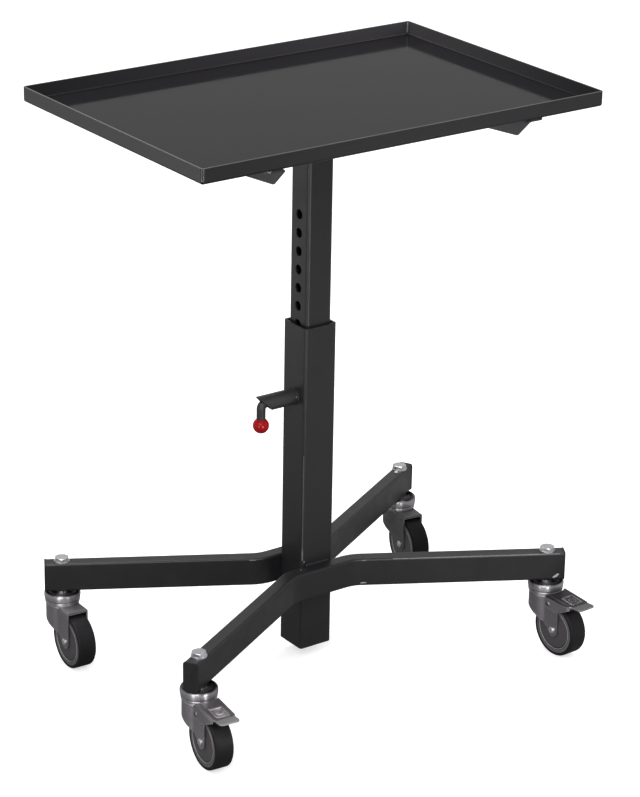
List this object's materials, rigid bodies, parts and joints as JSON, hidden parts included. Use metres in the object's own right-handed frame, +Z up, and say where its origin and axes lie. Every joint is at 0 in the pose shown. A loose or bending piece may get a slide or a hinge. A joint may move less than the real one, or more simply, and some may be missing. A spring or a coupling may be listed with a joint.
{
  "type": "material support stand",
  "caption": "Height-adjustable workshop stand: shallow steel tray on a telescopic square post with a spring pin latch, on bent tube legs with swivel casters, some with brake pedals.",
  "frame": {"origin": "on the floor, on the axis of the post", "axes": "+X along the tray's long side, +Y away from the viewer, +Z up"},
  "size_m": [0.6166, 0.4562, 0.791],
  "materials": {
    "tray_coat": "powder coat, satin to glossy on the flat tray floor",
    "frame_coat": "fine textured powder coat",
    "lever_coat": "thin black coat on drawn bar, worn at the bend",
    "black_plastic": "moulded black end cap",
    "zinc_bolt": "bright zinc plate",
    "bronze": "sintered bronze bush",
    "latch_steel": "spring steel and plated collar",
    "red_knob": "glossy red ball",
    "zinc_head": "bright zinc-plated swivel head",
    "zinc_fork": "grey passivated pressed steel",
    "axle_zinc": "bright zinc axle and rivet",
    "core_grey": "grey moulded wheel core",
    "tyre_black": "black rubber tread",
    "guard_grey": "grey moulded thread guard",
    "pedal_steel": "pressed zinc-plated steel",
    "shoe_black": "black brake block"
  },
  "bodies": {
    "base": {"outer_post": "frame_coat", "upper_guide": "black_plastic", "front_leg": "frame_coat", "rear_leg": "frame_coat", "leg_caps": "black_plastic", "caster_bolts": "zinc_bolt", "caster_washers": "zinc_bolt", "latch_sleeve": "frame_coat", "latch_bush": "bronze", "latch_spring": "latch_steel", "near_cup": "zinc_head", "right_cup": "zinc_head", "left_cup": "zinc_head", "back_cup": "zinc_head"},
    "upper": {"inner_post": "frame_coat", "lower_guide": "black_plastic", "support_beam": "frame_coat", "arm_left": "frame_coat", "arm_right": "frame_coat", "tray": "tray_coat"},
    "collar": {"latch_collar": "latch_steel"},
    "lever": {"latch_lever": "lever_coat", "lever_ball": "red_knob"},
    "near_swivel": {"near_ring": "zinc_head", "near_fork": "zinc_fork", "near_axle": "axle_zinc", "near_sleeve": "axle_zinc", "near_rivets": "zinc_fork"},
    "near_wheel": {"near_core": "core_grey", "near_tyre": "tyre_black", "near_guards": "guard_grey"},
    "near_brake": {"near_pedal": "pedal_steel", "near_shoe": "shoe_black"},
    "right_swivel": {"right_ring": "zinc_head", "right_fork": "zinc_fork", "right_axle": "axle_zinc", "right_sleeve": "axle_zinc", "right_rivets": "zinc_fork"},
    "right_wheel": {"right_core": "core_grey", "right_tyre": "tyre_black", "right_guards": "guard_grey"},
    "right_brake": {"right_pedal": "pedal_steel", "right_shoe": "shoe_black"},
    "left_swivel": {"left_ring": "zinc_head", "left_fork": "zinc_fork", "left_axle": "axle_zinc", "left_sleeve": "axle_zinc"},
    "left_wheel": {"left_core": "core_grey", "left_tyre": "tyre_black", "left_guards": "guard_grey"},
    "back_swivel": {"back_ring": "zinc_head", "back_fork": "zinc_fork", "back_axle": "axle_zinc", "back_sleeve": "axle_zinc"},
    "back_wheel": {"back_core": "core_grey", "back_tyre": "tyre_black", "back_guards": "guard_grey"}
  },
  "joints": [
    {"name": "height", "type": "slide", "parent": "base", "child": "upper", "axis": [0, 0, 1], "range_m": [-0.25, 0.05]},
    {"name": "pin_slide", "type": "slide", "parent": "base", "child": "collar", "axis": [-1, 0, 0], "range_m": [0, 0.016], "deforming": ["latch_spring"]},
    {"name": "lever_turn", "type": "hinge", "parent": "collar", "child": "lever", "pos_m": [-0.03, 0, 0.3775], "axis": [1, 0, 0], "range_deg": [0, 180]},
    {"name": "near_turn", "type": "hinge", "parent": "base", "child": "near_swivel", "pos_m": [-0.2827, -0.1667, 0.083], "axis": [0, 0, 1], "continuous": true},
    {"name": "near_roll", "type": "hinge", "parent": "near_swivel", "child": "near_wheel", "pos_m": [-0.28575, -0.19956, 0.0375], "axis": [0.9957, -0.0924, 0], "continuous": true},
    {"name": "near_pedal_press", "type": "hinge", "parent": "near_swivel", "child": "near_brake", "pos_m": [-0.28492, -0.1906, 0.074], "axis": [0.9957, -0.0924, 0], "range_deg": [0, 10]},
    {"name": "right_turn", "type": "hinge", "parent": "base", "child": "right_swivel", "pos_m": [0.2827, -0.1667, 0.083], "axis": [0, 0, 1], "continuous": true},
    {"name": "right_roll", "type": "hinge", "parent": "right_swivel", "child": "right_wheel", "pos_m": [0.28431, -0.19966, 0.0375], "axis": [0.9988, 0.0488, 0], "continuous": true},
    {"name": "right_pedal_press", "type": "hinge", "parent": "right_swivel", "child": "right_brake", "pos_m": [0.28387, -0.19067, 0.074], "axis": [0.9988, 0.0488, 0], "range_deg": [0, 10]},
    {"name": "left_turn", "type": "hinge", "parent": "base", "child": "left_swivel", "pos_m": [-0.2827, 0.1667, 0.083], "axis": [0, 0, 1], "continuous": true},
    {"name": "left_roll", "type": "hinge", "parent": "left_swivel", "child": "left_wheel", "pos_m": [-0.28408, 0.13373, 0.0375], "axis": [0.9991, -0.0419, 0], "continuous": true},
    {"name": "back_turn", "type": "hinge", "parent": "base", "child": "back_swivel", "pos_m": [0.2827, 0.1667, 0.083], "axis": [0, 0, 1], "continuous": true},
    {"name": "back_roll", "type": "hinge", "parent": "back_swivel", "child": "back_wheel", "pos_m": [0.27856, 0.13396, 0.0375], "axis": [0.9921, -0.1253, 0], "continuous": true}
  ],
  "couplings": [
    {"joint": "lever_turn", "follows": "pin_slide", "rad_per_m": 196.35}
  ]
}
